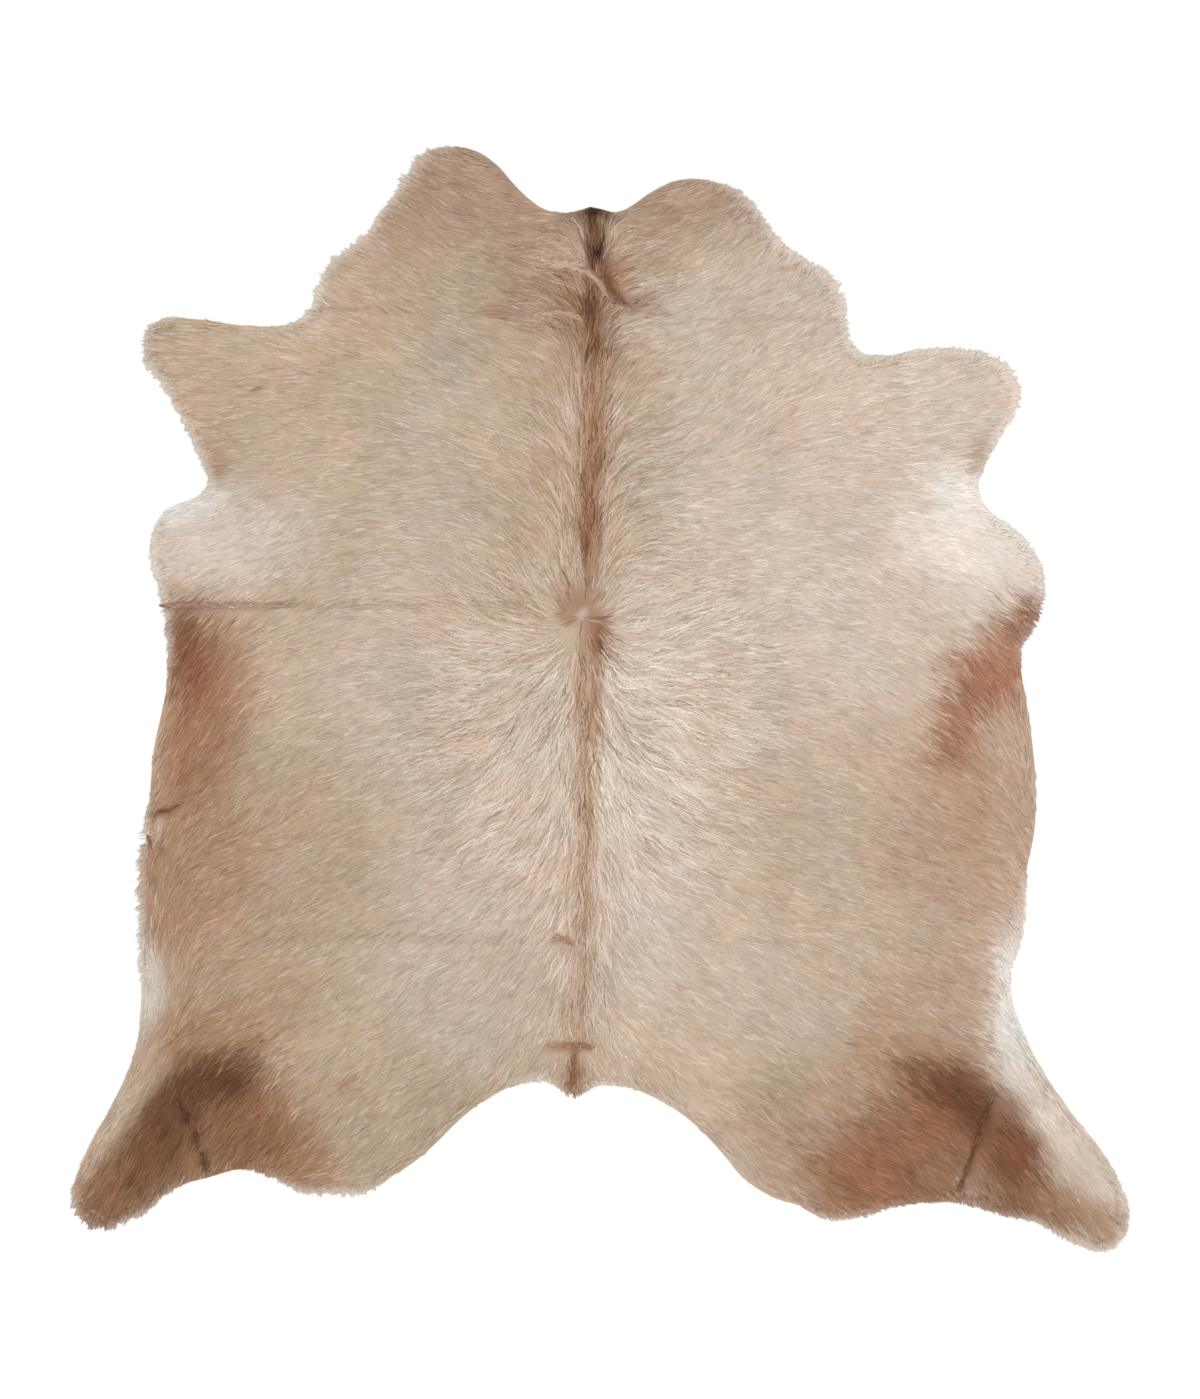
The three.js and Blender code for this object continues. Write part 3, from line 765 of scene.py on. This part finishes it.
# Layers of the coat: how many locks (for each mm, in the creases) and in what tufts, their sizes in mm,
# and how deep they lie
layers = [
    {"name": "under", "count": 34000, "tuft": 3, "tuftSize": (16, 7), "long": 44, "wide": 4.2,
     "stations": (0.5,), "depth": (0.6, 1.7), "where": "all"},
    {"name": "over", "count": 34000, "tuft": 6, "tuftSize": (30, 8), "long": 50, "wide": 2.7,
     "stations": (0.33, 0.7), "depth": (0.1, 1.0), "where": "all"},
    {"name": "long", "count": 11000, "tuft": 6, "tuftSize": (34, 8), "long": 74, "wide": 2.7,
     "stations": (0.25, 0.52, 0.78), "depth": (0.0, 0.9), "where": "lively"},
    {"name": "rim", "count": 8000, "tuft": 3, "tuftSize": (8, 5), "long": 36, "wide": 2.0,
     "stations": (0.35, 0.7), "depth": (0.2, 1.4), "where": "rim"},
    {"name": "crease", "count": 1.3, "long": 17, "wide": 2.4,
     "stations": (0.3, 0.7), "depth": (-0.7, 0.0), "where": "crease"},
]


def makeHairMaterial():
    # Short coat hair: keratin, fairly rough, with a faint sheen. Single hairs are under 0.1 mm,
    # too fine to show, so the grain is drawn at about 1 mm
    return coatMaterial(
        "cow hair", 0.6, 0.12, {"Scale": 900.0, "Detail": 2.0},
        {"To Min": 0.94, "To Max": 1.05}, {"Strength": 0.25, "Distance": 0.0003},
    )


def scatterRoots(rng, layer, signed, fringe):
    # Tufts on an even, jittered spread, and the locks of each round its middle, drawn out along the lie
    inZone = {
        "all": lambda x, y, reach: np.full(len(x), True),
        "lively": lambda x, y, reach: livelyAt(x, y) > 0.42 + 0.5 * rng.random(len(x)),
        "rim": lambda x, y, reach: (reach < 24) & (onGrid(fringe, x, y) > 3),
    }[layer["where"]]
    gx, gy = (a.ravel() for a in np.meshgrid(gridX, gridY))
    depthIn = signed.ravel()
    area = float(((depthIn > 0) & inZone(gx, gy, depthIn)).sum()) * gridStep ** 2
    step = math.sqrt(area * layer["tuft"] / layer["count"])
    x, y = np.meshgrid(np.arange(low[0] - 9, high[0] + 9, step), np.arange(low[1] - 9, high[1] + 9, step))
    x = (x + rng.uniform(-0.5, 0.5, x.shape) * step).ravel()
    y = (y + rng.uniform(-0.5, 0.5, y.shape) * step).ravel()
    angle = lieAt(x, y)
    per = layer["tuft"]
    along = rng.uniform(-1, 1, (len(x), per)) * layer["tuftSize"][0] / 2
    across = np.clip(rng.normal(0, 0.5, (len(x), per)), -1, 1) * layer["tuftSize"][1]
    dx, dy = np.cos(angle)[:, None], np.sin(angle)[:, None]
    rootX = (x[:, None] + dx * along - dy * across).ravel()
    rootY = (y[:, None] + dy * along + dx * across).ravel()
    chance = rng.random((4, len(x))).repeat(per, axis=1)
    across = across.ravel()
    reach = onGrid(signed, rootX, rootY)
    keep = (reach > skin["marginInside"]) & inZone(rootX, rootY, reach)
    return rootX[keep], rootY[keep], across[keep], chance[:, keep]


def layCreaseHair(rng, layer):
    # Short hair in the bottom of each strong crease, lying along it; it takes the crease's dark colour,
    # partly painted shade
    found = []
    for line in creases:
        if line["strength"] < coat["partsFrom"]:
            continue
        px, py, t = bezierPoints(line, 40)
        length = np.hypot(np.diff(px), np.diff(py)).sum()
        n = int(length * layer["count"])
        at = rng.uniform(0, 0.9, n)
        x, y = np.interp(at, t, px), np.interp(at, t, py)
        angle = np.arctan2(np.interp(at + 0.05, t, py) - y, np.interp(at + 0.05, t, px) - x)
        isRidge = line["dip"] < 0
        off = rng.normal(0, line["half"] * (0.6 if isRidge else 0.3), n)
        angle = angle + rng.normal(0, 0.3 if isRidge else 0.12, n)
        found.append((x - np.sin(angle) * off, y + np.cos(angle) * off, angle))
    x, y, angle = (np.concatenate(part) for part in zip(*found))
    n = len(x)
    chance = rng.random((4, n))
    return {
        "x": x, "y": y, "dx": np.cos(angle), "dy": np.sin(angle),
        "long": layer["long"] * (0.7 + 0.6 * chance[0]), "wide": layer["wide"] * (0.7 + 0.6 * chance[1]),
        "across": np.zeros(n), "life": np.full(n, 0.6), "phase": chance[2] * 6.28,
        "depth": rng.uniform(*layer["depth"], n), "turn": chance[3], "warm": chance[0], "full": chance[1],
    }


# How far locks turn from the lie of the hair, in degrees: in patches, by tuft and singly,
# and more where the coat is lively
turns = {
    "broad": {"angle": 13, "size": 75},
    "fine": {"angle": 9, "size": 26},
    "tuft": {"angle": 5, "lively": 13},
    "stray": {"angle": 2.5, "lively": 3},
}

# How much of the fringe past the edge the hair fills, and how unevenly
fill = {
    "share": 0.72, "least": 0.05, "most": 1.5,
    "stray": 0.9, "size": 8, "uneven": 0.3, "unevenLeft": 0.5,
}


def layHair(rng, layer, signed, fringe):
    # Directions, sizes and waves of all locks of one layer
    x, y, across, chance = scatterRoots(rng, layer, signed, fringe)
    n = len(x)
    life = livelyAt(x, y)
    angle = lieAt(x, y)
    broad, fine, tuft, stray = turns["broad"], turns["fine"], turns["tuft"], turns["stray"]
    angle += (
        math.radians(broad["angle"]) * cloud(x, y, broad["size"], 21)
        + math.radians(fine["angle"]) * cloud(x, y, fine["size"], 22)
    )
    angle += (
        np.radians(tuft["angle"] + tuft["lively"] * life) * (chance[0] - 0.5)
        + rng.normal(0, 1, n) * np.radians(stray["angle"] + stray["lively"] * life)
    )
    if layer["where"] == "rim":
        # Turned outwards over the edge, by 1 radian at the most
        outX = onGrid(signed, x - 4, y) - onGrid(signed, x + 4, y)
        outY = onGrid(signed, x, y - 4) - onGrid(signed, x, y + 4)
        out = np.arctan2(outY, outX) + rng.normal(0, 0.35, n)
        turn = (out - angle + math.pi) % (2 * math.pi) - math.pi
        angle += np.clip(turn, -1.25, 1.25) * 0.8
    long = layer["long"] * (0.55 + 0.45 * smooth(life / 0.35)) * (0.85 + 0.3 * chance[1])
    long = long * rng.uniform(0.8, 1.2, n)
    wide = layer["wide"] * rng.uniform(0.7, 1.25, n) * (0.74 + 0.36 * life)
    dx, dy = np.cos(angle), np.sin(angle)
    # Locks stop where the fringe of the nearest edge ends, more unevenly on the left
    uneven = fill["uneven"] + fill["unevenLeft"] * smooth(-x / 200)
    share = np.full(n, coat["leastShare"])
    single = rng.random(n)
    fits = np.full(n, True)
    for step in np.linspace(coat["leastShare"], 1, 20):
        tipX, tipY = x + dx * long * step, y + dy * long * step
        ragged = fill["share"] + uneven * cloud(tipX, tipY, fill["size"], 31)
        ragged = np.clip(ragged + fill["stray"] * (single - 0.5), fill["least"], fill["most"])
        fits &= onGrid(signed, tipX, tipY) > -0.6 - onGrid(fringe, tipX, tipY) * ragged
        fits &= wallAt(tipX, tipY) < coat["wallShare"]
        share[fits] = step
    long = long * share
    keep = long > coat["shortest"]
    phase = chance[3] * 6.28 + rng.normal(0, 0.45, n)
    hair = {
        "x": x, "y": y, "dx": dx, "dy": dy, "long": long, "wide": wide,
        "across": -across * coat["clumpPull"], "life": life, "phase": phase,
        "depth": rng.uniform(*layer["depth"], n), "turn": chance[2], "warm": chance[0], "full": chance[1],
    }
    return {key: value[keep] for key, value in hair.items()}


def pileTop(x, y, signed, under, over):
    # Height of the lie of the hair, falling to the floor past the edge
    inside = onGrid(signed, x, y)
    body = np.maximum(onGrid(over, x, y), onGrid(under, x, y) + skin["thickness"] + 1.2)
    full = smooth((inside + 2) / 16)
    rim = onGrid(under, x, y) + skin["thickness"] + 1.0
    outside = np.clip(-inside / 12, 0, 1)
    height = rim * (1 - full) + body * full
    return height * (1 - outside) + 1.3 * outside


def buildLocks(hair, stations, signed, under, over, tone):
    # Closed locks: a root point, rings of three at the stations, and a tip
    n = len(hair["x"])
    along = np.array([0.0, *stations, 1.0])
    rings = len(stations)
    centre = np.zeros((n, rings + 2, 3))
    sideX, sideY = -hair["dy"], hair["dx"]
    sway = coat["wave"] * (hair["long"] / 55) * (0.35 + 0.65 * hair["life"])
    for k, t in enumerate(along):
        bend = (3.6 + 0.9 * rings) * t
        shift = hair["across"] * t ** 1.5 + sway * np.sin(hair["phase"] + bend) * min(1.0, 2.2 * t)
        cx = hair["x"] + hair["dx"] * hair["long"] * t + sideX * shift
        cy = hair["y"] + hair["dy"] * hair["long"] * t + sideY * shift
        top = pileTop(cx, cy, signed, under, over) - dipAt(cx, cy)
        base = onGrid(under, cx, cy) + skin["thickness"] - coat["rootDepth"]
        rise = float(np.interp(t, [0, 0.15, 0.5, 1], [0.5, 0.85, 0.97, 1]))
        depth = hair["depth"] if k else 0
        centre[:, k] = np.stack([cx, cy, base * (1 - rise) + (top - depth) * rise], 1)
    floorGap = coat["floorGap"]
    centre[:, :, 2] = np.maximum(centre[:, :, 2], floorGap)
    swell = np.interp(stations, [0.2, 0.5, 0.8], [0.95, 1.0, 0.75])
    thick = (coat["thickness"] * (0.55 + 0.5 * hair["life"]) * (0.8 + 0.4 * hair["full"]))[:, None]
    side = np.stack([sideX, sideY, np.zeros(n)], 1)
    upright = np.tile([[0, 0, 1.0]], (n, 1))
    verts = [centre[:, 0]]
    for k in range(rings):
        middle = centre[:, k + 1]
        half = (hair["wide"] * swell[k] / 2)[:, None]
        for reach in (half, -half):
            corner = middle + side * reach - upright * thick * 0.4
            corner[:, 2] = np.maximum(corner[:, 2], floorGap * 0.6)
            verts.append(corner)
        verts.append(middle + upright * thick * 0.6)
    verts.append(centre[:, -1])
    points = np.stack(verts, 1)
    # Rounded like a tuft of fine hair, not like a prism
    outward = side * 0.5
    normals = np.stack([upright] + [upright + outward, upright - outward, upright] * rings + [upright], 1)
    normals /= np.linalg.norm(normals, axis=2, keepdims=True)
    faces = [[0, 3, 1], [0, 2, 3], [0, 1, 2]]
    for k in range(rings - 1):
        a = 1 + 3 * k
        for p, q in ((a, a + 2), (a + 2, a + 1), (a + 1, a)):
            faces += [[p, q, q + 3], [p, q + 3, p + 3]]
    last = 1 + 3 * (rings - 1)
    tip = 1 + 3 * rings
    faces += [[tip, last, last + 2], [tip, last + 2, last + 1], [tip, last + 1, last]]
    # Painted shade and light along each lock: darker at the root, deep in the pile, and lighter at the tip,
    # on top of it; and pale where it hangs over the edge
    place = np.repeat(along, [1] + [3] * rings + [1])
    shades = np.interp(place, [0, 0.3, 1], [0.9, 1.0, 1.05])
    colours = tone[:, None, :] * shades[None, :, None]
    ends = place[None, :, None] ** 2 * hair["paleEnd"][:, None, None]
    colours = colours * (1 - ends) + toLinear(coat["paleEnd"]) * ends
    uv = np.stack([[0.5] + [0, 1, 0.5] * rings + [0.5], place], 1)
    return points, normals, np.array(faces), colours, uv


# Light and dark locks: how far their tone turns, and the shares of pale and dark ones. The pale ones are
# partly lighter hairs and partly painted highlights
strands = {
    "turn": 0.2, "quiet": 0.26, "inDark": 0.8, "onSpine": 0.3, "byTuft": 1.5, "single": 0.55,
    "paleShare": 0.26, "pale": 0.03, "paleLively": 0.4,
    "darkShare": 0.14, "darkOnSpine": 0.16, "darkLively": 0.26,
    # Streaks run this far out of a marking, in mm, and this share of it out of a small one
    "streak": 16.0, "smallStreak": 0.4,
}

# Where the hair over the edge keeps its colour; elsewhere it ends pale
colouredFringe = table(["x", "y", "reach"], [
    (885, 150, 75),
    (-10, 985, 60),
    (-50, -780, 40),
    (-700, -945, 70),
    (680, -1010, 170),
    (-1005, -1050, 40),
])


def hairTone(hair, layer, signed, rng):
    # Colour of each lock: its place on the hide, then its own light or dark turn, with painted highlights
    # on the lightened ones
    n = len(hair["x"])
    half = hair["long"] * 0.45 if layer["where"] != "rim" else np.full(n, -9.0)
    half = half * smooth(np.hypot(hair["x"] - whorl["x"], hair["y"] - whorl["y"]) / 30)
    streak = rng.normal(0, strands["streak"], n) + strands["streak"] * 2 * (hair["full"] - 0.5)
    middleX, middleY = hair["x"] + hair["dx"] * half, hair["y"] + hair["dy"] * half
    tone = colourAt(middleX, middleY, hair["dx"] * streak, hair["dy"] * streak) * coat["gain"]
    dark = smooth((0.42 - tone[:, 1]) / 0.35)
    onSpine = np.exp(-((hair["x"] - spineAt(hair["y"])) / 26) ** 2)
    life = hair["life"]
    contrast = strands["quiet"] + life + strands["inDark"] * dark + strands["onSpine"] * onSpine
    amount = strands["turn"] * contrast
    value = 1 + amount * strands["byTuft"] * (hair["turn"] - 0.5)
    value = value + amount * strands["single"] * rng.normal(0, 1, n)
    # Pale locks: partly lighter hairs, partly painted highlights
    isPale = rng.random(n) < strands["paleShare"]
    hair["wide"] = hair["wide"] * np.where(isPale, 0.75, 1)
    isDark = rng.random(n) < strands["darkShare"] + strands["darkOnSpine"] * onSpine
    value = np.clip(value, 0.55, 1.35) + isPale * (strands["pale"] + strands["paleLively"] * life)
    value = value - isDark * strands["darkLively"] * life
    tone = tone * value[:, None]
    tone = tone * (1 + np.clip(1 - value, 0, 0.5)[:, None] * np.array([[0.2, 0.0, -0.25]]))
    warm = rng.normal(0, 0.018, n) + 0.035 * (hair["warm"] - 0.5)
    tone = tone * (1 + warm[:, None] * np.array([[1.0, 0.0, -1.2]]))
    # Painted highlight: lightened locks turn towards a pale grey
    grey = (tone @ np.array([0.21, 0.72, 0.07]))[:, None] * np.array([[1.08, 0.99, 0.93]])
    paintedHighlight = np.clip((value - 1) * 1.8, 0, 0.7)[:, None] * smooth((grey[:, 1:2] - 0.12) / 0.4)
    tone = tone * (1 - paintedHighlight) + grey * paintedHighlight
    # Where the hair hangs over the edge its pale ends show
    tipX = hair["x"] + hair["dx"] * hair["long"]
    tipY = hair["y"] + hair["dy"] * hair["long"]
    past = np.clip(-onGrid(signed, tipX, tipY), 0, 30)
    hair["paleEnd"] = np.clip(past / 8, 0, 1) * (0.95 if layer["where"] == "rim" else 0.7)
    for spot in colouredFringe:
        away = ((tipX - spot["x"]) ** 2 + (tipY - spot["y"]) ** 2) / spot["reach"] ** 2
        hair["paleEnd"] = hair["paleEnd"] * (1 - 0.85 * np.exp(-away))
    return tone / np.maximum(tone.max(1, keepdims=True) / coat["brightest"], 1)


def bakeCells(count, uv, first, columns, rows):
    # Each lock has its own small cell on the bake's map
    index = first + np.arange(count)
    column, row = index % columns, index // columns
    margin = 0.12
    u = (column[:, None] + margin + (1 - 2 * margin) * uv[None, :, 0]) / columns
    v = (row[:, None] + margin + (1 - 2 * margin) * uv[None, :, 1]) / rows
    return np.stack([u, v], 2)


def meshFromLocks(name, parts, material):
    total = sum(len(part[0]) for part in parts)
    columns = max(1, round(math.sqrt(total * 2.6)))
    rows = math.ceil(total / columns)
    gathered = []
    base, first = 0, 0
    for points, normals, faces, colours, uv in parts:
        n, per = points.shape[:2]
        starts = base + np.arange(n)[:, None, None] * per
        cells = bakeCells(n, uv, first, columns, rows)[:, faces.ravel()].reshape(-1, 2)
        corners = (starts + faces[None]).reshape(-1, 3)
        gathered.append((*(a.reshape(-1, 3) for a in (points, normals, colours)), corners, cells))
        base += n * per
        first += n
    points, normals, colours, faces, uv = (np.concatenate(part) for part in zip(*gathered))
    points = points * mm
    mesh = bpy.data.meshes.new(name)
    mesh.vertices.add(len(points))
    mesh.vertices.foreach_set("co", points.ravel().astype(np.float32))
    mesh.loops.add(faces.size)
    mesh.loops.foreach_set("vertex_index", faces.ravel().astype(np.int32))
    mesh.polygons.add(len(faces))
    mesh.polygons.foreach_set("loop_start", np.arange(0, faces.size, 3, dtype=np.int32))
    mesh.update(calc_edges=True)
    mesh.shade_smooth()
    mesh.normals_split_custom_set_from_vertices(normals.astype(np.float32))
    layer = mesh.uv_layers.new(name="OFBake")
    layer.uv.foreach_set("vector", uv.ravel().astype(np.float32))
    setColours(mesh, colours)
    mesh.materials.append(material)
    print(name, len(faces), "triangles")
    return addObject(name, mesh)


# The hair pieces: bands from a lower to an upper line, each split at a line beside the spine
bands = {"Neck": (430, math.inf, -20), "Back": (-260, 430, -30), "Rump": (-math.inf, -260, -40)}


def makeHair(signed, fringe, under, over):
    material = makeHairMaterial()
    rng = np.random.default_rng(coat["seed"])
    laid = []
    for layer in layers:
        isCrease = layer["where"] == "crease"
        hair = layCreaseHair(rng, layer) if isCrease else layHair(rng, layer, signed, fringe)
        # Locks that lie deeper in the pile are painted darker: painted shade
        tone = hairTone(hair, layer, signed, rng) * (1 - 0.03 * hair["depth"][:, None])
        laid.append((hair, *buildLocks(hair, layer["stations"], signed, under, over, tone)))
        print("laid", len(hair["x"]), layer["name"], "locks")
    pieces = []
    for band, (lower, upper, split) in bands.items():
        for side in ("Left", "Right"):
            chosen = []
            for hair, points, normals, faces, colours, uv in laid:
                keep = (hair["y"] >= lower) & (hair["y"] < upper)
                keep &= (hair["x"] < split) == (side == "Left")
                chosen.append((points[keep], normals[keep], faces, colours[keep], uv))
            pieces.append(meshFromLocks("hair" + band + side, chosen, material))
    return pieces


makeCamera()
makeRoom()
print("camera, light and floor made")

edge, edgeFringe = skinEdge()
fields = (*distanceToEdge(edge, edgeFringe), *readHeights())
print(f"read the packed solid: {len(edge)} points on the edge, fringe up to {edgeFringe.max():.1f} mm")

hideSkin = makeSkin(edge, *fields)
print("skin made")
hairPieces = makeHair(*fields)
print("hair made")

for piece in (hideSkin, *hairPieces):
    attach(piece, "root")
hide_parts("hide")
